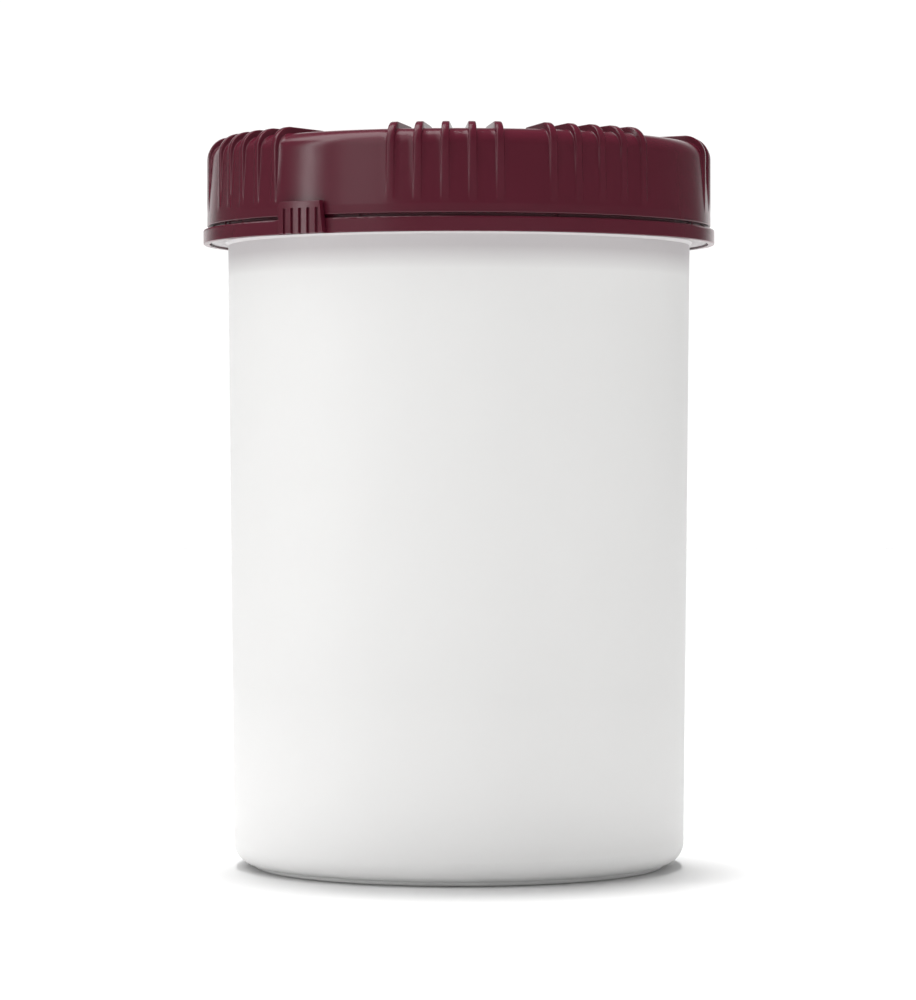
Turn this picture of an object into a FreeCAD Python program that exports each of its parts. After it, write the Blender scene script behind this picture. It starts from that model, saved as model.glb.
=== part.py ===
"""Wide-neck screw-lid canister: a tapered white drum closed by a ribbed burgundy screw lid, with a tamper band
and its tear tab under the lid.

Millimetres. +Z is up, the origin is the centre of the foot ring's underside, and the front faces -Y.
A bearing of 0 degrees is the front (-Y), and bearings grow counter-clockwise seen from above, towards +X.
The closed lid is the rest pose. Turning it counter-clockwise lifts it along the thread.
"""
import FreeCAD, Part
import math
import os

V = FreeCAD.Vector
UP = V(0, 0, 1)
ORIGIN = V(0, 0, 0)

# ---- driving dimensions ------------------------------------------------------------------------------------
BAND_R = 110.0              # outer radius of the tamper band, the widest ring of the object
TOTAL_HEIGHT = 312.3        # foot ring to the top of the lid's ribs

# drum
DRUM_TOP_R = 99.4           # outside of the wall just under the flange
DRUM_FOOT_R = 96.8          # outside of the wall just above the bottom corner
WALL = 2.4
CORNER_R = 8.6              # outside radius of the bottom corner
FOOT_STEP = 1.6             # height of the foot ring below the corner
FOOT_OUT_R = DRUM_FOOT_R - CORNER_R
FOOT_IN_R = FOOT_OUT_R - 5.0
PUSH_UP = 3.0               # height of the base panel's centre above the ground
FLANGE_R = 107.0            # support flange that the tamper band sits on
FLANGE_Z = 267.8
FLANGE_T = 2.4
FLANGE_FILLET = 1.2
NECK_R = 99.8
NECK_BORE_R = 97.0
RIM_Z = 304.5
BEAD_R = 104.0              # bead that keeps the band from rising off the neck
BEAD_Z = 272.2
BEAD_H = 0.8

# thread, shared by the neck and the lid
LEAD = 32.0                 # rise in one turn
STARTS = 4
THREAD_SPAN = 110.0         # degrees that one thread ridge runs round
NECK_ROOT_R = 99.3
NECK_CREST_R = 102.6
LID_ROOT_R = 106.2
LID_CREST_R = 100.4
ROOT_W = 3.4                # axial width of a ridge at its root
CREST_W = 1.8
NECK_THREAD_Z = 286.0       # middle of a neck ridge at its lower end
FLANK_OFFSET = 2.7          # the lid's ridges run this far below the neck's, 0.3 mm clear of them

# lid
SKIRT_Z = 274.6             # lower edge of the lid's skirt
SKIRT_R = 108.35
SKIRT_STRAIGHT = 3.9        # height of the skirt's straight foot, below its tapered part
SHOULDER_R = 7.0
SHOULDER_SKIRT_R = 107.0    # how far out the shoulder's rounding reaches
LID_TOP_Z = 309.4
LID_WALL = 2.3
PANEL_R = 75.5              # sunk panel in the middle of the lid
PANEL_RIM_R = 77.5
PANEL_Z = 307.8
PLUG_OUT_R = 96.3           # ring that enters the neck
PLUG_IN_R = 94.4
PLUG_Z = 298.5
GASKET_SEAT_Z = 306.9
GASKET_SEAT_R = 101.2
SEAT_WALL_Z = 304.5         # lower end of the gasket seat's outer wall

# grip ribs: two groups of five in each quarter turn
RIB_W = 3.2
RIB_PITCH = 6.0             # degrees
RIBS_IN_GROUP = 5
QUARTERS = 4
FIRST_GROUP = -3.0          # bearing of the middle rib of the first group
GROUP_STEP = 36.0           # degrees from the first group to the second
RIB_R = 108.3               # a rib's face is upright, so it fades into the skirt where the skirt is as wide
RIB_SHOULDER_R = 8.8
RIB_FOOT_Z = 277.5
RIB_END_R = 80.0            # inner end of a rib on the lid's top
RIB_END_ROUND = 1.4
RIB_SLOPE = 1.8             # degrees that a rib falls towards its inner end
RIB_CREST_FILLET = 0.6
RIB_ROOT_DEPTH = 0.8        # how deep a rib is rooted in the lid's wall

# gasket
GASKET_IN_R = 96.8
GASKET_OUT_R = 100.7
GASKET_GAP = 0.1
GASKET_EDGE = 0.4

# tamper band
BAND_IN_R = 107.4
BAND_Z = 267.0
BAND_H = 6.2
BAND_TOP_ROUND = 0.8
BAND_FOOT_BEVEL = 0.3
WEB_T = 1.6                 # flat web that lies on the flange, under the bead
WEB_IN_R = 102.6
LIP_IN_R = 104.6            # upstand on the web that closes the view through the slit below the skirt
LIP_OUT_R = 105.4
LIP_TOP_Z = 276.6
POCKET_R = 108.7            # the band is thinned to this radius behind the tab and just past its free edge
POCKET_END = -27.7          # bearing where the thinned stretch ends

# tear tab
TAB_BEARING = -36.0         # bearing of the tab's middle
TAB_W = 23.7
TAB_OUT_R = 111.6
TAB_IN_R = 109.0
TAB_Z = 267.2
TAB_H = 13.2
TAB_SLANT = 1.5             # how far the tab's free edge leans outwards from its top to its foot
TAB_CORNER_R = 2.8
HINGE_R = (TAB_OUT_R - TAB_IN_R) / 2
HINGE_GAP = 0.3
TAB_GROOVES = 5
GROOVE_PITCH = 2.16         # degrees
GROOVE_SHIFT = 0.3          # degrees that the middle groove lies towards the free edge
GROOVE_W = 1.1
GROOVE_DEPTH = 1.1
GROOVE_LIP = 0.4            # rounding of the grooves' mouths
TAB_RIM_ROUND = 0.35        # rounding of the plate's outer rims
GROOVE_TOP = 2.8            # plain strip above the grooves

# break bridges
BRIDGES = 8
BRIDGE_W = 1.0
BRIDGE_IN_R = 106.1
BRIDGE_OUT_R = 106.8
BRIDGE_GAP = 0.1
LOCK_BEARING = -43.3        # the bridge next to the tab's hinge stands further out, on the band's wall
LOCK_IN_R = 107.4
LOCK_OUT_R = 108.2

OVERSHOOT = 5.0             # how far cutting tools reach past what they cut


# ---- helpers -----------------------------------------------------------------------------------------------
def turned(shape, bearing):
    """A copy of a shape that was drawn along +X, turned so that it lies at a bearing."""
    copy = shape.copy()
    copy.rotate(ORIGIN, UP, bearing - 90.0)
    return copy


def section(steps):
    """A closed face in the XZ plane. A step is (x, z), or (x, z, mid_x, mid_z) for an arc through its middle."""
    edges = []
    for here, there in zip(steps, steps[1:] + steps[:1]):
        start, end = V(here[0], 0, here[1]), V(there[0], 0, there[1])
        if len(there) == 4:
            edges.append(Part.Arc(start, V(there[2], 0, there[3]), end).toShape())
        else:
            edges.append(Part.LineSegment(start, end).toShape())
    return Part.Face(Part.Wire(edges))


def revolved(steps):
    return section(steps).revolve(ORIGIN, UP, 360)


def on_circle(centre, radius, degrees):
    """A point (x, z) of a circle, with angles from +X towards +Z."""
    a = math.radians(degrees)
    return centre[0] + radius * math.cos(a), centre[1] + radius * math.sin(a)


def arc_to(centre, radius, from_deg, to_deg):
    """A step that ends an arc about a centre."""
    return on_circle(centre, radius, to_deg) + on_circle(centre, radius, (from_deg + to_deg) / 2)


def tangent_angle(centre, radius, point):
    """The angle on a circle where a line from a point outside, below and to its right, touches it."""
    away = math.hypot(point[0] - centre[0], point[1] - centre[1])
    return math.degrees(math.atan2(point[1] - centre[1], point[0] - centre[0]) + math.acos(radius / away))


def annulus(inner, outer, z, height):
    ring = Part.makeCylinder(outer, height, V(0, 0, z))
    return ring.cut(Part.makeCylinder(inner, height, V(0, 0, z)))


def post(inner, outer, low, high):
    """An upright post of a break bridge's width, standing at +X."""
    return Part.makeBox(outer - inner, BRIDGE_W, high - low, V(inner, -BRIDGE_W / 2, low))


def thread_ridges(root_r, crest_r, start_z):
    """One helical ridge for each start, as a list of solids. A ridge is a trapezium swept along the helix."""
    helix = Part.makeHelix(LEAD, LEAD * THREAD_SPAN / 360.0, root_r)
    helix.translate(V(0, 0, start_z))
    corners = [V(root_r, 0, start_z - ROOT_W / 2), V(crest_r, 0, start_z - CREST_W / 2),
               V(crest_r, 0, start_z + CREST_W / 2), V(root_r, 0, start_z + ROOT_W / 2)]
    profile = Part.makePolygon(corners + corners[:1])
    ridge = Part.Wire(helix.Edges).makePipeShell([profile], True, True)
    ridges = []
    for start in range(STARTS):
        copy = ridge.copy()
        copy.rotate(ORIGIN, UP, start * 360.0 / STARTS)
        ridges.append(copy)
    return ridges


# ---- drum --------------------------------------------------------------------------------------------------
def drum_shell():
    """The drum below its flange: foot ring, base panel and tapered wall."""
    corner = (FOOT_OUT_R, FOOT_STEP + CORNER_R)
    inner_corner = CORNER_R - WALL
    floor_z = corner[1] - inner_corner
    edge = 0.4
    return revolved([
        (0, PUSH_UP), (FOOT_IN_R - 3.0, PUSH_UP - 1.0), (FOOT_IN_R - 0.6, edge), (FOOT_IN_R, 0),
        (FOOT_OUT_R - edge, 0), (FOOT_OUT_R, edge), (FOOT_OUT_R, FOOT_STEP),
        arc_to(corner, CORNER_R, -90, 0),
        (DRUM_TOP_R, FLANGE_Z - FLANGE_FILLET), (DRUM_TOP_R + FLANGE_FILLET, FLANGE_Z),
        (NECK_BORE_R, FLANGE_Z), (DRUM_FOOT_R - WALL, corner[1]),
        arc_to(corner, inner_corner, 0, -90),
        (FOOT_IN_R - 4.0, floor_z + 0.6), (0, PUSH_UP + WALL),
    ])


def neck_finish():
    """The drum from its flange up: support flange, retaining bead and threaded neck, one moulding with the wall."""
    flange_top = FLANGE_Z + FLANGE_T
    bead_top = BEAD_Z + BEAD_H
    rim_round = 0.9
    edge = 0.4
    neck = revolved([
        (FLANGE_R - edge, FLANGE_Z), (FLANGE_R, FLANGE_Z + edge), (FLANGE_R, flange_top - edge),
        (FLANGE_R - edge, flange_top), (NECK_R, flange_top),
        (NECK_R, BEAD_Z), (BEAD_R, BEAD_Z), (BEAD_R, bead_top), (NECK_R, bead_top + 2.2),
        (NECK_R, RIM_Z - rim_round), arc_to((NECK_R - rim_round, RIM_Z - rim_round), rim_round, 0, 90),
        (NECK_BORE_R + rim_round, RIM_Z),
        arc_to((NECK_BORE_R + rim_round, RIM_Z - rim_round), rim_round, 90, 180),
        (NECK_BORE_R, FLANGE_Z),
    ])
    return neck.fuse(thread_ridges(NECK_ROOT_R, NECK_CREST_R, NECK_THREAD_Z))


# ---- lid ---------------------------------------------------------------------------------------------------
def grip_rib():
    """One rib: up the skirt, over the shoulder and in along the lid's top, with both long edges rounded."""
    bend = (RIB_R - RIB_SHOULDER_R, TOTAL_HEIGHT - RIB_SHOULDER_R)
    root = (SHOULDER_SKIRT_R - SHOULDER_R, LID_TOP_Z - SHOULDER_R)
    slope = math.radians(RIB_SLOPE)
    top_x, top_z = on_circle(bend, RIB_SHOULDER_R, 90 + RIB_SLOPE)
    end_x = RIB_END_R + RIB_END_ROUND * (1 - math.sin(slope))
    end_z = top_z - (top_x - end_x) * math.tan(slope)
    end_centre = (RIB_END_R + RIB_END_ROUND, end_z - RIB_END_ROUND * math.cos(slope))
    root_top = LID_TOP_Z - RIB_ROOT_DEPTH
    outline = section([
        (RIB_R, RIB_FOOT_Z), (RIB_R, bend[1]),
        arc_to(bend, RIB_SHOULDER_R, 0, 90 + RIB_SLOPE), (end_x, end_z),
        arc_to(end_centre, RIB_END_ROUND, 90 + RIB_SLOPE, 180),
        (RIB_END_R, root_top), (root[0], root_top),
        arc_to(root, SHOULDER_R - RIB_ROOT_DEPTH, 90, 0), (SKIRT_R - 1.2, RIB_FOOT_Z),
    ])
    outline.translate(V(0, -RIB_W / 2, 0))
    rib = outline.extrude(V(0, RIB_W, 0))
    return rib.makeFillet(RIB_CREST_FILLET, [e for e in rib.Edges if on_crest(e)])


def on_crest(edge):
    """Whether a rib's edge is one of its two long outer edges."""
    ends = [vertex.Point for vertex in edge.Vertexes]
    along = len(ends) == 2 and abs(ends[0].y - ends[1].y) < 1e-6
    middle = edge.valueAt((edge.FirstParameter + edge.LastParameter) / 2)
    outer = middle.x > RIB_R - 0.1 or middle.z > LID_TOP_Z or (middle.z > LID_TOP_Z - SHOULDER_R
                                                              and middle.x > SHOULDER_SKIRT_R)
    return along and outer


def rib_bearings():
    """Bearings of all the grip ribs."""
    middle = (RIBS_IN_GROUP - 1) / 2
    return [quarter * 360.0 / QUARTERS + FIRST_GROUP + group * GROUP_STEP + (k - middle) * RIB_PITCH
            for quarter in range(QUARTERS) for group in range(2) for k in range(RIBS_IN_GROUP)]


def screw_lid():
    """The lid: skirt, shoulder, grip ribs and sunk panel, with the plug ring, gasket seat and inner thread."""
    shoulder = (SHOULDER_SKIRT_R - SHOULDER_R, LID_TOP_Z - SHOULDER_R)
    taper_foot = (SKIRT_R, SKIRT_Z + SKIRT_STRAIGHT)
    inner_skirt_r = SHOULDER_SKIRT_R - LID_WALL + 0.1
    lead_in = 0.8
    edge = 0.4
    shell = revolved([
        (0, PANEL_Z), (PANEL_R, PANEL_Z), (PANEL_RIM_R, LID_TOP_Z), (shoulder[0], LID_TOP_Z),
        arc_to(shoulder, SHOULDER_R, 90, tangent_angle(shoulder, SHOULDER_R, taper_foot)),
        taper_foot, (SKIRT_R, SKIRT_Z + edge), (SKIRT_R - edge, SKIRT_Z),
        (SKIRT_R - LID_WALL, SKIRT_Z), (inner_skirt_r, SEAT_WALL_Z - 3.0), (GASKET_SEAT_R, SEAT_WALL_Z),
        (GASKET_SEAT_R, GASKET_SEAT_Z), (PLUG_OUT_R, GASKET_SEAT_Z),
        (PLUG_OUT_R, PLUG_Z + lead_in), (PLUG_OUT_R - edge, PLUG_Z), (PLUG_IN_R, PLUG_Z),
        (PLUG_IN_R, LID_TOP_Z - LID_WALL), (PANEL_RIM_R + 1.0, LID_TOP_Z - LID_WALL),
        (PANEL_R + 1.0, PANEL_Z - LID_WALL), (0, PANEL_Z - LID_WALL),
    ])
    rib = grip_rib()
    ribs = [turned(rib, bearing) for bearing in rib_bearings()]
    ridges = thread_ridges(LID_ROOT_R, LID_CREST_R, NECK_THREAD_Z - FLANK_OFFSET)
    return shell.fuse(ribs + ridges)


def lid_gasket():
    """Flat foam ring between the lid and the rim of the neck."""
    low = RIM_Z + GASKET_GAP
    high = GASKET_SEAT_Z - GASKET_GAP
    return revolved([
        (GASKET_IN_R, low + GASKET_EDGE), (GASKET_IN_R + GASKET_EDGE, low), (GASKET_OUT_R - GASKET_EDGE, low),
        (GASKET_OUT_R, low + GASKET_EDGE), (GASKET_OUT_R, high), (GASKET_IN_R, high),
    ])


# ---- tamper band -------------------------------------------------------------------------------------------
def hinge_point():
    """(x, y) of the tear tab's hinge in the tab's own drawing, where +X is the tab's middle radius."""
    across = -(TAB_W / 2 - HINGE_R)
    return math.sqrt((TAB_IN_R + HINGE_R) ** 2 - across ** 2), across


def tab_outline():
    """The tab seen from outside, as a block through its plate: closed end at -Y, leaning free edge at +Y."""
    near = TAB_IN_R - 2 * OVERSHOOT
    left, right = -TAB_W / 2, TAB_W / 2
    high = TAB_Z + TAB_H
    bend = TAB_CORNER_R * (1 - math.cos(math.radians(45)))
    round_from = V(near, left + TAB_CORNER_R, high)
    round_to = V(near, left, high - TAB_CORNER_R)
    pieces = [
        Part.LineSegment(V(near, left, TAB_Z), V(near, right, TAB_Z)),
        Part.LineSegment(V(near, right, TAB_Z), V(near, right - TAB_SLANT, high)),
        Part.LineSegment(V(near, right - TAB_SLANT, high), round_from),
        Part.Arc(round_from, V(near, left + bend, high - bend), round_to),
        Part.LineSegment(round_to, V(near, left, TAB_Z)),
    ]
    face = Part.Face(Part.Wire([piece.toShape() for piece in pieces]))
    return face.extrude(V(4 * OVERSHOOT, 0, 0))


def groove_cutter():
    """What is cut away for one groove at +X: a round bottom, straight sides and a mouth with rounded lips."""
    half, lip = GROOVE_W / 2, GROOVE_LIP
    bottom = (TAB_OUT_R - GROOVE_DEPTH + half, 0)
    lips = TAB_OUT_R - lip
    height = TAB_H - GROOVE_TOP + OVERSHOOT
    cutter = section([
        (TAB_OUT_R, half + lip), arc_to((lips, half + lip), lip, 0, -90),
        (bottom[0], half), arc_to(bottom, half, 90, 270),
        (lips, -half), arc_to((lips, -half - lip), lip, 90, 0),
        (TAB_OUT_R + OVERSHOOT, -half - lip), (TAB_OUT_R + OVERSHOOT, half + lip),
    ]).extrude(V(0, height, 0))
    cutter.rotate(ORIGIN, V(1, 0, 0), 90)
    cutter.translate(V(0, 0, TAB_Z - OVERSHOOT))
    return cutter


def tear_tab():
    """The ribbed pull tab: a curved plate over the foot of the lid's skirt, round-ended where it hinges."""
    hinge_x, hinge_y = hinge_point()
    rim = TAB_RIM_ROUND
    top = TAB_Z + TAB_H
    plate = revolved([
        (TAB_IN_R, TAB_Z), (TAB_OUT_R - rim, TAB_Z), arc_to((TAB_OUT_R - rim, TAB_Z + rim), rim, -90, 0),
        (TAB_OUT_R, top - rim), arc_to((TAB_OUT_R - rim, top - rim), rim, 0, 90), (TAB_IN_R, top),
    ])
    keep = Part.makeBox(4 * OVERSHOOT, TAB_W, TAB_H, V(TAB_IN_R - 2 * OVERSHOOT, hinge_y, TAB_Z))
    knuckle = Part.makeCylinder(HINGE_R, TAB_H, V(hinge_x, hinge_y, TAB_Z))
    tab = plate.common(keep).fuse(knuckle).common(tab_outline())
    groove = groove_cutter()
    for k in range(TAB_GROOVES):
        copy = groove.copy()
        copy.rotate(ORIGIN, UP, (k - (TAB_GROOVES - 1) / 2) * GROOVE_PITCH + GROOVE_SHIFT)
        tab = tab.cut(copy)
    return turned(tab, TAB_BEARING)


def tamper_band():
    """The band: an outer wall round the flange, a web with an upstand on it, and a thinned stretch by the tab."""
    top = BAND_Z + BAND_H
    web_low = FLANGE_Z + FLANGE_T
    web_top = web_low + WEB_T
    ring = revolved([
        (BAND_IN_R, BAND_Z), (BAND_R - BAND_FOOT_BEVEL, BAND_Z), (BAND_R, BAND_Z + BAND_FOOT_BEVEL),
        (BAND_R, top - BAND_TOP_ROUND),
        arc_to((BAND_R - BAND_TOP_ROUND, top - BAND_TOP_ROUND), BAND_TOP_ROUND, 0, 90),
        (BAND_IN_R, top), (BAND_IN_R, web_top), (LIP_OUT_R, web_top), (LIP_OUT_R, LIP_TOP_Z),
        (LIP_IN_R, LIP_TOP_Z), (LIP_IN_R, web_top), (WEB_IN_R, web_top),
        (WEB_IN_R, web_low), (BAND_IN_R, web_low),
    ])
    hinge_x, hinge_y = hinge_point()
    low, height = BAND_Z - OVERSHOOT, BAND_H + 2 * OVERSHOOT
    free_end = BAND_R * math.sin(math.radians(POCKET_END - TAB_BEARING))
    round_end = Part.makeCylinder(HINGE_R + HINGE_GAP, height, V(hinge_x, hinge_y, low))
    block = Part.makeBox(4 * OVERSHOOT, free_end - hinge_y, height, V(POCKET_R - 2 * OVERSHOOT, hinge_y, low))
    outside = annulus(POCKET_R, BAND_R + OVERSHOOT, low, height)
    pocket = round_end.fuse(block).common(outside)
    return ring.cut(turned(pocket, TAB_BEARING))


def break_bridges():
    """Thin posts that tie the band to the lid's skirt until the lid is first opened."""
    high = SKIRT_Z - BRIDGE_GAP
    bridge = post(BRIDGE_IN_R, BRIDGE_OUT_R, FLANGE_Z + FLANGE_T + WEB_T, high)
    lock = post(LOCK_IN_R, LOCK_OUT_R, BAND_Z + BAND_H, high)
    posts = [turned(bridge, (k + 0.5) * 360.0 / BRIDGES) for k in range(BRIDGES)]
    return Part.makeCompound(posts + [turned(lock, LOCK_BEARING)])


NODES = {
    "drum_shell": drum_shell,
    "neck_finish": neck_finish,
    "screw_lid": screw_lid,
    "lid_gasket": lid_gasket,
    "tamper_band": tamper_band,
    "tear_tab": tear_tab,
    "break_bridges": break_bridges,
}

os.makedirs("parts", exist_ok=True)
for node, make in NODES.items():
    shape = make()
    box = shape.optimalBoundingBox()
    print(node, "valid" if shape.isValid() else "NOT VALID", len(shape.Solids), "solids",
          round(shape.Volume / 1000.0, 2), "cm3, z", round(box.ZMin, 2), "to", round(box.ZMax, 2))
    shape.exportStep("parts/" + node + ".step")

hinge_x, hinge_y = hinge_point()
hinge_bearing = math.radians(TAB_BEARING + math.degrees(math.atan2(hinge_y, hinge_x)))
hinge_from_axis = math.hypot(hinge_x, hinge_y)
print("tab hinge at x", round(hinge_from_axis * math.sin(hinge_bearing), 3),
      "y", round(-hinge_from_axis * math.cos(hinge_bearing), 3))
print("lid lift per radian of turn, metres:", round(LEAD / 1000.0 / (2 * math.pi), 9))
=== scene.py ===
"""Looks for the wide-neck screw-lid canister: materials, a finer lid, soft studio light, floor and camera.

Metres, in the CAD's frame: +Z is up, the origin is under the foot ring, and the front faces -Y.
"""
import bpy
import math
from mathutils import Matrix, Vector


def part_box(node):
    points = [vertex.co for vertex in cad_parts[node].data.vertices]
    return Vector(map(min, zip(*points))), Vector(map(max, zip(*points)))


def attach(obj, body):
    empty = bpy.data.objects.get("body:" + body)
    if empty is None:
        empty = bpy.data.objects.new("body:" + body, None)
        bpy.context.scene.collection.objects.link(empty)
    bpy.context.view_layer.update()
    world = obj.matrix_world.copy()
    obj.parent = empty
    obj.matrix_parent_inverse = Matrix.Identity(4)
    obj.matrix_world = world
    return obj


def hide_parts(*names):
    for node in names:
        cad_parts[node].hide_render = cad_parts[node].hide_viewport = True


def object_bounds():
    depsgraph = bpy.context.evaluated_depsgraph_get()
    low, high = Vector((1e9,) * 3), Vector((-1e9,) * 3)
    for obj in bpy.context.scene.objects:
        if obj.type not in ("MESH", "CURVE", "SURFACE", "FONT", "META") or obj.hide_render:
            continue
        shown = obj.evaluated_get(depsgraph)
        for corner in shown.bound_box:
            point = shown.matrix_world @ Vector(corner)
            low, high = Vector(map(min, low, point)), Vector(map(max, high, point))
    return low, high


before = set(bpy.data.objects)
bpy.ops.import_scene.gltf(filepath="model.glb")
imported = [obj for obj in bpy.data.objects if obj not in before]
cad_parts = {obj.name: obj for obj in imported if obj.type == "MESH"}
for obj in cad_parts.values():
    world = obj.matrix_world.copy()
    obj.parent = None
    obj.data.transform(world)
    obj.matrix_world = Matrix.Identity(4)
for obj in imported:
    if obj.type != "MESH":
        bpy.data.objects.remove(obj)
CAD_LOW, CAD_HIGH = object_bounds()

# ---- driving values ----------------------------------------------------------------------------------------
CAMERA_DISTANCE = 1.7046        # from the drum's axis
CAMERA_HEIGHT = 0.1749
CAMERA_LENS = 142.2             # millimetres, on a 36 mm sensor
CAMERA_SHIFT = (-0.0009, -0.041)  # shares of the long side that the view moves right and up
FLOOR_SIZE = 12.0
FLOOR_GAP = 0.0002              # the floor lies this far under the foot ring

BURGUNDY = (0.081, 0.0082, 0.0188)
BURGUNDY_WORN = (0.12, 0.019, 0.036)
BURGUNDY_ROUGHNESS = 0.21
BURGUNDY_CLOUDY = 0.10          # how far the cloudy tone goes towards the second tone
BURGUNDY_EDGE = 0.004           # the top of the lid that is a little worn
WHITE = (0.78, 0.777, 0.77)
WHITE_ROUGHNESS = 0.46
WHITE_CLOUDY = 0.06
PAINTED_FOOT_LIGHT = (0.93, 0.926, 0.92)         # painted light: the body lighter towards its foot, in place of light that reaches it
PAINTED_FLANGE_SHADE = (0.40, 0.376, 0.383)      # painted shade: the flange's underside greyer, as if in shadow
PAINTED_WALL_SHADE = (0.55, 0.528, 0.535)    # painted shade: the wall just below the flange greyer, as if in its shadow
FOOT_LIGHT_ZONE = (0.08, 0.005)       # where the painted light on the foot starts and is full, above the foot
FLANGE_SHADE_ZONE = (0.006, 0.003)    # where the flange's painted shade does, above its underside
WALL_SHADE_ZONE = (-0.015, -0.006)  # where the wall's painted shade does, below the flange's underside
GRAIN_SCALE, GRAIN_DEPTH = 2600, 0.00002  # the plastics' fine grain
WAVE_SCALE, WAVE_DEPTH = 38, 0.0002       # and slow waviness
CLOUD_SCALE, CLOUD_STRETCH = 14, (1, 1, 0.45)
SCUFF_SCALE, SCUFF_STRETCH = 420, (1, 1, 0.12)
FOAM = (0.70, 0.70, 0.68)
FOAM_DARKER = 0.86
FLOOR = (0.75, 0.75, 0.75)
FLOOR_CLOUD = (0.73, 0.73, 0.73)

# studio
WORLD_FRONT, WORLD_BACK = 0.12, 1.05
WORLD_EDGE = (0.78, 0.96)       # where the world goes from one to the other, as the Y of a direction
OVERHEAD = (4.3, 18, 8)         # strength, spread and lean, in degrees
SOFT_BOXES = (                  # name, azimuth, elevation, distance, width, height, power, seen in reflections
    ("top", -88, 66, 1.6, 0.9, 1.3, 10.0, True),
    ("key", -70, 20, 1.6, 0.12, 1.6, 4.1, True),
    ("wide_key", -43, 36, 1.8, 0.8, 1.9, 5.0, True),
    ("fill", 62, 30, 1.8, 1.1, 1.5, 7.0, False),
    ("front", -8, -3, 1.6, 1.4, 0.3, 2.6, False),
)

MM = 0.001
ARC_STEP = math.radians(7)      # longest turn that one facet of a wide corner makes
EDGE_STEP = math.radians(24)    # and of a small rounded edge
WIDE_CORNER = 3.0
AXIS_R = 4.0                    # innermost ring of the lid's grid, closed by a fan

# lid, in millimetres, as drops below the ribs' top and radii from the axis
TOP_DROP = 2.9                  # plain top of the lid
PANEL_DROP = 4.5                # sunk panel
PANEL_R = 75.5
PANEL_RIM_R = 77.5
SHOULDER_CORNER_R = 106.62      # where the lines of the top and of the skirt would meet
SHOULDER_R = 7.0
SKIRT_STRAIGHT = 3.9
LID_WALL = 2.3
SEAT_DROP = 5.4                 # ceiling over the gasket
POCKET_DEPTH = 2.4              # pocket that holds the gasket
POCKET_R = 101.2
SLOPE_DEPTH = 5.4               # sloping wall from the pocket out to the skirt
SLOPE_R = 104.8
PLUG_DEPTH = 8.4                # plug ring that reaches into the drum's mouth
PLUG_OUTER_R = 96.3
PLUG_INNER_R = 94.4

# grip ribs
RIB_PITCH = 6.0                 # degrees
RIBS_IN_GROUP = 5
FIRST_GROUP = -3.0              # bearing of a group's middle, from the front towards +X
GROUP_STEPS = (0.0, 36.0)       # two groups in each quarter turn
RIB_FACE_R = 108.3
RIB_BEND_R = 8.8
RIB_END_R = 80.0
RIB_END_ROUND = 1.4
RIB_SLOPE = math.tan(math.radians(1.8))
RIB_HALF = 1.6                  # half of a rib's width at its crest
RIB_DRAFT = 0.12                # how much wider each side is at the foot
CREST_ROUND = 0.6
ROOT_ROUND = 0.4
ARC_POINTS = 3                  # points on each quarter-round of a rib's cross-section

# thread ridges inside the lid
THREAD_STARTS = 4
THREAD_LEAD = 32.0
THREAD_SPAN = 110.0             # degrees
THREAD_ROOT_R = 106.2
THREAD_CREST_R = 100.4
THREAD_LOW = 8.7                # middle of a ridge's lower end above the skirt's edge
THREAD_STEPS = 55
THREAD_SECTION = (              # radius above the crest's, and height from the ridge's middle
    (0.35, -1.05), (0.08, -0.85), (0.0, -0.5), (0.0, 0.5), (0.08, 0.85), (0.35, 1.05),
)
THREAD_FOOT_HALF = 1.7          # half of a ridge's height at its foot


# ---- materials ---------------------------------------------------------------------------------------------
def shader_nodes(name):
    """A new material with an empty Principled shader: (material, nodes, link function, shader)."""
    material = bpy.data.materials.new(name)
    material.use_nodes = True
    nodes = material.node_tree.nodes
    links = material.node_tree.links
    return material, nodes, links.new, nodes["Principled BSDF"]


def object_noise(nodes, link, scale, detail, stretch=(1, 1, 1)):
    """Noise in the object's own metres, optionally stretched along its axes. Gives its value socket."""
    place = nodes.new("ShaderNodeTexCoord")
    mapping = nodes.new("ShaderNodeMapping")
    mapping.inputs["Scale"].default_value = stretch
    noise = nodes.new("ShaderNodeTexNoise")
    noise.inputs["Scale"].default_value = scale
    noise.inputs["Detail"].default_value = detail
    link(place.outputs["Object"], mapping.inputs["Vector"])
    link(mapping.outputs["Vector"], noise.inputs["Vector"])
    return noise.outputs["Fac"]


def ramp(nodes, link, value, low, high, to_low=0.0, to_high=1.0):
    """Maps a value's range low to high onto to_low to to_high, and stops at both ends."""
    node = nodes.new("ShaderNodeMapRange")
    for name, number in (("From Min", low), ("From Max", high), ("To Min", to_low), ("To Max", to_high)):
        node.inputs[name].default_value = number
    link(value, node.inputs["Value"])
    return node.outputs["Result"]


def height_mask(nodes, link, from_z, to_z):
    """0 to 1 as the object's height goes from from_z to to_z."""
    place = nodes.new("ShaderNodeTexCoord")
    split = nodes.new("ShaderNodeSeparateXYZ")
    link(place.outputs["Object"], split.inputs["Vector"])
    return ramp(nodes, link, split.outputs["Z"], from_z, to_z)


def times(nodes, link, a, b):
    node = nodes.new("ShaderNodeMath")
    node.operation = "MULTIPLY"
    link(a, node.inputs[0])
    link(b, node.inputs[1])
    return node.outputs["Value"]


def mixed(nodes, link, amount, first, second):
    """A colour between two colours. The first is three numbers or another node's colour."""
    node = nodes.new("ShaderNodeMix")
    node.data_type = "RGBA"
    link(amount, node.inputs["Factor"])
    if isinstance(first, tuple):
        node.inputs["A"].default_value = (*first, 1)
    else:
        link(first, node.inputs["A"])
    node.inputs["B"].default_value = (*second, 1)
    return node.outputs["Result"]


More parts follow.
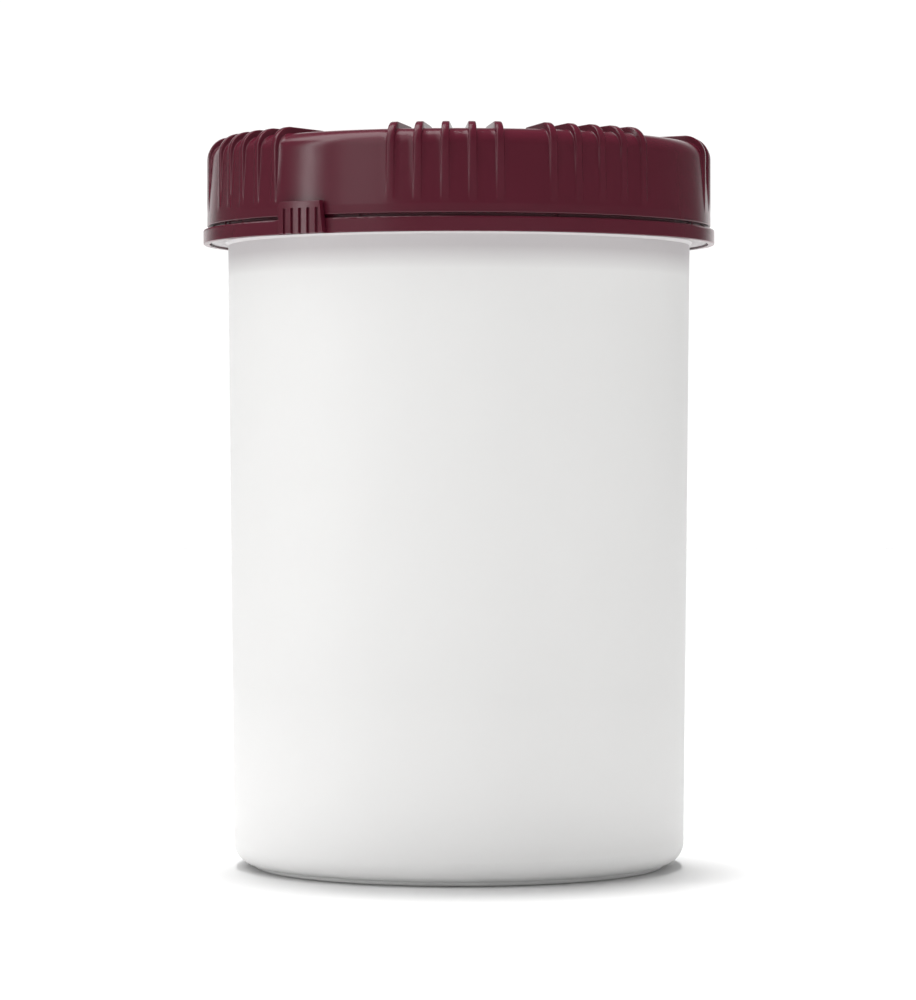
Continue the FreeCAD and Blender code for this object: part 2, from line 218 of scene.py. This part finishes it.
def bumped(nodes, link, shader, layers):
    """Chains bump layers, each (height socket, distance in metres, strength), into the shader's normal."""
    normal = None
    for height, distance, strength in layers:
        bump = nodes.new("ShaderNodeBump")
        bump.inputs["Distance"].default_value = distance
        bump.inputs["Strength"].default_value = strength
        link(height, bump.inputs["Height"])
        if normal is not None:
            link(normal, bump.inputs["Normal"])
        normal = bump.outputs["Normal"]
    link(normal, shader.inputs["Normal"])


def moulded_plastic(name, colour, second, roughness, cloudy, zone, painted_shade=None):
    """Satin moulded plastic: fine grain, slow waviness, cloudy tone, and a second tone that grows towards one height.

    zone is (height where it starts, height where it is full, spots from, spots to, greatest share).
    The second tone is worn colour on the lid, painted light on the drum's foot and painted shade under the flange.
    painted_shade is an optional third tone of painted shade: (height where it starts, height where it is full,
    colour).
    """
    material, nodes, link, shader = shader_nodes(name)
    grain = object_noise(nodes, link, GRAIN_SCALE, 3)
    waviness = object_noise(nodes, link, WAVE_SCALE, 2)
    cloud = object_noise(nodes, link, CLOUD_SCALE, 4, CLOUD_STRETCH)
    scuffs = object_noise(nodes, link, SCUFF_SCALE, 5, SCUFF_STRETCH)
    # the second tone: worn colour on the lid, painted light on the drum's foot, painted shade under the neck's flange
    start, full, spots_from, spots_to, greatest = zone
    spots = ramp(nodes, link, scuffs, spots_from, spots_to)
    share = times(nodes, link, spots, height_mask(nodes, link, start, full))
    tone = times(nodes, link, ramp(nodes, link, cloud, 0.3, 0.7, 0.0, cloudy), cloud)
    amount = nodes.new("ShaderNodeMath")
    amount.operation = "MAXIMUM"
    link(tone, amount.inputs[0])
    link(ramp(nodes, link, share, 0.0, 1.0, 0.0, greatest), amount.inputs[1])
    tint = mixed(nodes, link, amount.outputs["Value"], colour, second)
    # painted shade: a third, greyer tone towards one height
    if painted_shade is not None:
        tint = mixed(nodes, link, height_mask(nodes, link, painted_shade[0], painted_shade[1]), tint, painted_shade[2])
    link(tint, shader.inputs["Base Color"])
    link(ramp(nodes, link, cloud, 0.25, 0.75, roughness - 0.03, roughness + 0.05), shader.inputs["Roughness"])
    bumped(nodes, link, shader, [(grain, GRAIN_DEPTH, 0.5), (waviness, WAVE_DEPTH, 0.25)])
    return material


def foam():
    """Closed-cell sealing foam: matte, with small pits."""
    material, nodes, link, shader = shader_nodes("sealing_foam")
    cells = nodes.new("ShaderNodeTexVoronoi")
    cells.inputs["Scale"].default_value = 1500
    place = nodes.new("ShaderNodeTexCoord")
    link(place.outputs["Object"], cells.inputs["Vector"])
    tone = object_noise(nodes, link, 60, 3)
    darker = tuple(channel * FOAM_DARKER for channel in FOAM)
    link(mixed(nodes, link, ramp(nodes, link, tone, 0.35, 0.65), FOAM, darker), shader.inputs["Base Color"])
    link(ramp(nodes, link, tone, 0.3, 0.7, 0.8, 0.92), shader.inputs["Roughness"])
    bumped(nodes, link, shader, [(cells.outputs["Distance"], 0.0002, 0.6)])
    return material


def floor_material():
    """Matte studio paper."""
    material, nodes, link, shader = shader_nodes("floor")
    link(mixed(nodes, link, object_noise(nodes, link, 6, 2), FLOOR, FLOOR_CLOUD), shader.inputs["Base Color"])
    shader.inputs["Roughness"].default_value = 0.9
    return material


def paint(node, material):
    """Gives a CAD node one material, in every slot that it has."""
    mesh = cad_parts[node].data
    if not mesh.materials:
        mesh.materials.append(material)
    for slot in range(len(mesh.materials)):
        mesh.materials[slot] = material


# ---- lid ---------------------------------------------------------------------------------------------------
def unit(x, z):
    length = math.hypot(x, z)
    return x / length, z / length


def rounded_path(corners):
    """A section's outline as (x, z, normal x, normal z), from corners (x, z, radius). Normals point to its left."""
    rows = []
    count = len(corners)
    ways = [unit(b[0] - a[0], b[1] - a[1]) for a, b in zip(corners, corners[1:])]
    for k, (x, z, radius) in enumerate(corners):
        if k == 0 or k == count - 1:
            way = ways[0] if k == 0 else ways[-1]
            rows.append((x, z, -way[1], way[0]))
            continue
        into, out = ways[k - 1], ways[k]
        turn = math.atan2(into[0] * out[1] - into[1] * out[0], into[0] * out[0] + into[1] * out[1])
        reach = radius * math.tan(abs(turn) / 2)
        side = -math.copysign(1, turn)
        normal = math.atan2(into[0], -into[1])
        centre = (x - into[0] * reach - side * radius * math.cos(normal),
                  z - into[1] * reach - side * radius * math.sin(normal))
        steps = max(2, math.ceil(abs(turn) / (ARC_STEP if radius > WIDE_CORNER else EDGE_STEP)))
        for step in range(steps + 1):
            a = normal + turn * step / steps
            rows.append((centre[0] + side * radius * math.cos(a), centre[1] + side * radius * math.sin(a),
                         math.cos(a), math.sin(a)))
    return rows


def refined(rows, longest, near_ends):
    """Adds rows on straight stretches: one close to each end, and others no further apart than longest."""
    fine = [rows[0]]
    for a, b in zip(rows, rows[1:]):
        length = math.hypot(b[0] - a[0], b[1] - a[1])
        straight = abs(a[2] - b[2]) + abs(a[3] - b[3]) < 1e-6
        if straight and length > 4 * near_ends:
            inner = length - 2 * near_ends
            parts = max(1, math.ceil(inner / longest))
            stops = [near_ends + inner * k / parts for k in range(parts + 1)]
            fine += [(a[0] + (b[0] - a[0]) * stop / length, a[1] + (b[1] - a[1]) * stop / length, a[2], a[3])
                     for stop in stops]
        fine.append(b)
    return fine


def in_rib(x, z, ribs_top):
    """Whether a point of the section lies inside a rib's outline."""
    bend = (RIB_FACE_R - RIB_BEND_R, ribs_top - RIB_BEND_R)
    top_z = ribs_top - max(0.0, bend[0] - x) * RIB_SLOPE
    end = (RIB_END_R + RIB_END_ROUND, ribs_top - (bend[0] - RIB_END_R - RIB_END_ROUND) * RIB_SLOPE - RIB_END_ROUND)
    if x > RIB_FACE_R or x < RIB_END_R or z > top_z:
        return False
    if x > bend[0] and z > bend[1]:
        return math.hypot(x - bend[0], z - bend[1]) <= RIB_BEND_R
    if x < end[0] and z > end[1]:
        return math.hypot(x - end[0], z - end[1]) <= RIB_END_ROUND
    return True


def rib_height(row, ribs_top):
    """How far a rib's crest stands off the lid at one row, measured along the row's normal."""
    x, z, normal_x, normal_z = row
    toe = RIB_END_R - ROOT_ROUND
    if toe < x < RIB_END_R and normal_z > 0.9:
        return ROOT_ROUND - math.sqrt(ROOT_ROUND ** 2 - (x - toe) ** 2)
    if not in_rib(x, z, ribs_top):
        return 0.0
    low, high = 0.0, 6.0
    for _ in range(30):
        middle = (low + high) / 2
        if in_rib(x + normal_x * middle, z + normal_z * middle, ribs_top):
            low = middle
        else:
            high = middle
    return low


def rib_section():
    """A rib's cross-section as (offset to the side, share of root height, share of crest height) for one half."""
    foot = RIB_HALF + RIB_DRAFT
    half = []
    for k in range(ARC_POINTS):
        a = math.radians(90) * k / (ARC_POINTS - 1)
        half.append((foot + ROOT_ROUND * (1 - math.sin(a)), 1 - math.cos(a), None))
    for k in range(ARC_POINTS):
        a = math.radians(90) * k / (ARC_POINTS - 1)
        half.append((RIB_HALF - CREST_ROUND * (1 - math.cos(a)), None, math.sin(a)))
    half.append((0.0, None, 1.0))
    return half


def section_height(part, height):
    """The height of one point of a rib's cross-section where the crest stands height off the lid."""
    _, root_share, crest_share = part
    if crest_share is None:
        return root_share * min(ROOT_ROUND, 0.4 * height)
    crest = min(CREST_ROUND, 0.5 * height)
    return height - crest + crest * crest_share


def lid_columns():
    """The grid's columns as (rib bearing, cross-section part, side) or (bearing before, bearing after, share)."""
    middle = (RIBS_IN_GROUP - 1) / 2
    bearings = sorted((quarter * 90.0 + FIRST_GROUP + step + (k - middle) * RIB_PITCH) % 360
                      for quarter in range(4) for step in GROUP_STEPS for k in range(RIBS_IN_GROUP))
    half = rib_section()
    columns = []
    for bearing, after in zip(bearings, bearings[1:] + [bearings[0] + 360]):
        columns += [("rib", bearing, part, -1) for part in half]
        columns += [("rib", bearing, part, 1) for part in reversed(half[:-1])]
        gap = after - bearing
        between = 2 if gap < 1.5 * RIB_PITCH else round(gap / 1.8)
        columns += [("gap", bearing, after, (k + 1) / (between + 1)) for k in range(between)]
    return columns


def lid_rows(skirt_low, ribs_top, skirt_r):
    """The lid's section from the middle of its top, out over the skirt and back in to the middle underneath."""
    top, panel = ribs_top - TOP_DROP, ribs_top - PANEL_DROP
    seat = ribs_top - SEAT_DROP
    outer = rounded_path([
        (AXIS_R, panel, 0), (PANEL_R, panel, 0.8), (PANEL_RIM_R, top, 0.8), (SHOULDER_CORNER_R, top, SHOULDER_R),
        (skirt_r, skirt_low + SKIRT_STRAIGHT, 8.0), (skirt_r, skirt_low, 0.4),
        (skirt_r - LID_WALL, skirt_low, 0.3), (SLOPE_R, seat - SLOPE_DEPTH, 1.0), (POCKET_R, seat - POCKET_DEPTH, 0.5),
        (POCKET_R, seat, 0.2), (PLUG_OUTER_R, seat, 0.2), (PLUG_OUTER_R, seat - PLUG_DEPTH, 0.6),
        (PLUG_INNER_R, seat - PLUG_DEPTH, 0.6), (PLUG_INNER_R, top - LID_WALL, 0.5),
        (PANEL_RIM_R + 1, top - LID_WALL, 0.5), (PANEL_R + 1, panel - LID_WALL, 0.5), (AXIS_R, panel - LID_WALL, 0),
    ])
    rows = refined(outer, 9.0, 0.3)
    toe = RIB_END_R - ROOT_ROUND
    end_rows = [toe + ROOT_ROUND * share for share in (0.0, 0.35, 0.65, 0.88, 0.999)]
    end_rows += [RIB_END_R + RIB_END_ROUND * share for share in (0.004, 0.06, 0.18, 0.36, 0.6, 0.85, 1.0, 1.3)]
    rows += [(x, top, 0.0, 1.0) for x in end_rows]
    taper = unit(SHOULDER_CORNER_R - skirt_r, top - skirt_low - SKIRT_STRAIGHT)
    for drop in (0.6, 0.9, 1.2, 1.6, 2.1, 2.8):
        z = skirt_low + SKIRT_STRAIGHT + drop
        rows.append((skirt_r + taper[0] / taper[1] * drop, z, taper[1], -taper[0]))
    return in_path_order(rows, outer)


def in_path_order(rows, path):
    """Sorts rows by how far along a path they lie, and drops any that repeat a place."""
    def along(row):
        best, travelled = None, 0.0
        for a, b in zip(path, path[1:]):
            length = math.hypot(b[0] - a[0], b[1] - a[1])
            if length > 1e-9:
                share = ((row[0] - a[0]) * (b[0] - a[0]) + (row[1] - a[1]) * (b[1] - a[1])) / length ** 2
                share = min(1.0, max(0.0, share))
                off = math.hypot(a[0] + (b[0] - a[0]) * share - row[0], a[1] + (b[1] - a[1]) * share - row[1])
                if best is None or off < best[0] - 1e-7:
                    best = (off, travelled + share * length)
            travelled += length
        return best[1]
    keyed = sorted((along(row), row) for row in rows)
    kept = [keyed[0]]
    for key, row in keyed[1:]:
        if key - kept[-1][0] > 0.01:
            kept.append((key, row))
    return [row for _, row in kept]


def column_angle(column, r):
    """The bearing of one column, in radians, at a radius. Ribs have parallel sides, so it depends on the radius."""
    r = max(r, RIB_END_R - 2 * ROOT_ROUND)
    if column[0] == "rib":
        _, bearing, part, side = column
        return math.radians(bearing) + side * math.asin(part[0] / r)
    _, before, after, share = column
    edge = math.asin((RIB_HALF + RIB_DRAFT + ROOT_ROUND) / r)
    start, stop = math.radians(before) + edge, math.radians(after) - edge
    return start + (stop - start) * share


def at_bearing(r, angle, z):
    """A point in metres from a radius and a height in millimetres and a bearing."""
    return r * MM * math.sin(angle), -r * MM * math.cos(angle), z * MM


def grid_faces(across, along, first):
    """Quads of a grid of vertices stored row by row, closed across its columns."""
    return [(first + row * across + k, first + (row + 1) * across + k,
             first + (row + 1) * across + (k + 1) % across, first + row * across + (k + 1) % across)
            for row in range(along - 1) for k in range(across)]


def lid_shell(skirt_low, ribs_top, skirt_r):
    """Vertices and faces of the lid's closed shell with its grip ribs."""
    columns = lid_columns()
    rows = lid_rows(skirt_low, ribs_top, skirt_r)
    taper_foot = next(k for k, row in enumerate(rows) if row[1] < skirt_low + SKIRT_STRAIGHT)
    vertices = []
    for k, row in enumerate(rows):
        x, z, normal_x, normal_z = row
        height = rib_height(row, ribs_top) if k < taper_foot else 0.0
        for column in columns:
            lift = section_height(column[2], height) if column[0] == "rib" and height > 0 else 0.0
            r = x + normal_x * lift
            vertices.append(at_bearing(r, column_angle(column, r), z + normal_z * lift))
    across = len(columns)
    faces = grid_faces(across, len(rows), 0)
    top_middle, low_middle = len(vertices), len(vertices) + 1
    vertices += [(0.0, 0.0, rows[0][1] * MM), (0.0, 0.0, rows[-1][1] * MM)]
    last = (len(rows) - 1) * across
    faces += [(top_middle, k, (k + 1) % across) for k in range(across)]
    faces += [(low_middle, last + (k + 1) % across, last + k) for k in range(across)]
    return vertices, faces


def thread_ridge(start_angle, low_z, first):
    """Vertices and faces of one helical ridge, a rounded trapezium swept up the helix and closed at both ends."""
    shape = [(THREAD_ROOT_R, -THREAD_FOOT_HALF)]
    shape += [(THREAD_CREST_R + r, z) for r, z in THREAD_SECTION]
    shape += [(THREAD_ROOT_R, THREAD_FOOT_HALF)]
    vertices, faces = [], []
    for step in range(THREAD_STEPS + 1):
        turn = THREAD_SPAN * step / THREAD_STEPS
        angle = math.radians(start_angle + turn)
        rise = low_z + THREAD_LEAD * turn / 360
        vertices += [at_bearing(r, angle, rise + z) for r, z in shape]
    size = len(shape)
    for step in range(THREAD_STEPS):
        here = first + step * size
        faces += [(here + k, here + (k + 1) % size, here + size + (k + 1) % size, here + size + k)
                  for k in range(size)]
    faces.append(tuple(first + k for k in reversed(range(size))))
    faces.append(tuple(first + THREAD_STEPS * size + k for k in range(size)))
    return vertices, faces


def make_lid(low, high, material):
    """The lid's own look: the same shape as its node, with soft root fillets along every rib."""
    skirt_low, ribs_top, skirt_r = low.z / MM, high.z / MM, high.x / MM
    vertices, faces = lid_shell(skirt_low, ribs_top, skirt_r)
    for start in range(THREAD_STARTS):
        ridge = thread_ridge(90 + start * 360 / THREAD_STARTS, skirt_low + THREAD_LOW, len(vertices))
        vertices += ridge[0]
        faces += ridge[1]
    mesh = bpy.data.meshes.new("ribbed_lid")
    mesh.from_pydata(vertices, [], faces)
    mesh.validate()
    mesh.shade_smooth()
    mesh.materials.append(material)
    lid = bpy.data.objects.new("ribbed_lid", mesh)
    bpy.context.scene.collection.objects.link(lid)
    return lid


# ---- stage -------------------------------------------------------------------------------------------------
def make_floor():
    bpy.ops.mesh.primitive_plane_add(size=FLOOR_SIZE, location=(0, 0, CAD_LOW.z - FLOOR_GAP))
    floor = bpy.context.object
    floor.name = "floor"
    floor.data.materials.append(floor_material())


def make_world():
    """A studio that is dim in front of the object (-Y) and has a white wall behind it (+Y)."""
    world = bpy.data.worlds.new("studio")
    bpy.context.scene.world = world
    world.use_nodes = True
    nodes, link = world.node_tree.nodes, world.node_tree.links.new
    background = nodes["Background"]
    background.inputs["Color"].default_value = (1, 1, 1, 1)
    way = nodes.new("ShaderNodeTexCoord")
    split = nodes.new("ShaderNodeSeparateXYZ")
    link(way.outputs["Generated"], split.inputs["Vector"])
    strength = ramp(nodes, link, split.outputs["Y"], *WORLD_EDGE, WORLD_FRONT, WORLD_BACK)
    link(strength, background.inputs["Strength"])


def overhead_light(strength, spread, lean):
    """Even light from above that leans towards the wall behind the object. Reflections leave it out, because the
    soft box "top" takes its place there.
    """
    data = bpy.data.lights.new("overhead", "SUN")
    data.energy = strength
    data.angle = math.radians(spread)
    light = bpy.data.objects.new("overhead", data)
    light.rotation_euler = (-math.radians(lean), 0, 0)
    light.visible_glossy = False
    bpy.context.scene.collection.objects.link(light)


def area_light(name, azimuth, elevation, distance, width, height, power, reflected):
    """A soft box aimed at the middle of the object. Azimuth 0 is in front, and 90 at its right."""
    a, e = math.radians(azimuth), math.radians(elevation)
    middle = (CAD_LOW + CAD_HIGH) / 2
    data = bpy.data.lights.new(name, "AREA")
    data.shape = "RECTANGLE"
    data.size = width
    data.size_y = height
    data.energy = power
    light = bpy.data.objects.new(name, data)
    bpy.context.scene.collection.objects.link(light)
    light.location = (middle.x + distance * math.cos(e) * math.sin(a),
                      middle.y - distance * math.cos(e) * math.cos(a),
                      middle.z + distance * math.sin(e))
    light.rotation_euler = (middle - light.location).to_track_quat("-Z", "Y").to_euler()
    light.visible_glossy = reflected


def make_camera():
    data = bpy.data.cameras.new("camera")
    data.lens = CAMERA_LENS
    data.shift_x, data.shift_y = CAMERA_SHIFT
    data.clip_end = 50
    camera = bpy.data.objects.new("camera", data)
    camera.location = (0, -CAMERA_DISTANCE, CAMERA_HEIGHT)
    camera.rotation_euler = (math.radians(90), 0, 0)
    bpy.context.scene.collection.objects.link(camera)
    bpy.context.scene.camera = camera


# ---- assembly ----------------------------------------------------------------------------------------------
make_camera()
lid_low, lid_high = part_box("screw_lid")
drum_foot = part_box("drum_shell")[0].z
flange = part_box("neck_finish")[0].z
burgundy = moulded_plastic("burgundy_plastic", BURGUNDY, BURGUNDY_WORN, BURGUNDY_ROUGHNESS, BURGUNDY_CLOUDY,
                           (lid_high.z - BURGUNDY_EDGE, lid_high.z, 0.55, 0.72, 0.55))
white = moulded_plastic("white_plastic", WHITE, PAINTED_FOOT_LIGHT, WHITE_ROUGHNESS, WHITE_CLOUDY,
                        # painted light: the white lighter towards the foot
                        (drum_foot + FOOT_LIGHT_ZONE[0], drum_foot + FOOT_LIGHT_ZONE[1], 0.0, 0.2, 0.7),
                        # painted shade: the wall greyer just below the flange, as if in its shadow
                        (flange + WALL_SHADE_ZONE[0], flange + WALL_SHADE_ZONE[1], PAINTED_WALL_SHADE))
neck_white = moulded_plastic("neck_plastic", WHITE, PAINTED_FLANGE_SHADE, WHITE_ROUGHNESS, WHITE_CLOUDY,
                             # painted shade: the flange's underside greyer, as if in shadow
                             (flange + FLANGE_SHADE_ZONE[0], flange + FLANGE_SHADE_ZONE[1], 0.0, 0.2, 0.95))
lid = make_lid(lid_low, lid_high, burgundy)
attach(lid, "lid")
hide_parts("screw_lid")
for name in ("tamper_band", "tear_tab", "break_bridges"):
    paint(name, burgundy)
for name, plastic in (("drum_shell", white), ("neck_finish", neck_white)):
    paint(name, plastic)
paint("lid_gasket", foam())

make_floor()
make_world()
overhead_light(*OVERHEAD)
for box in SOFT_BOXES:
    area_light(*box)
bpy.context.scene.view_settings.view_transform = "Standard"
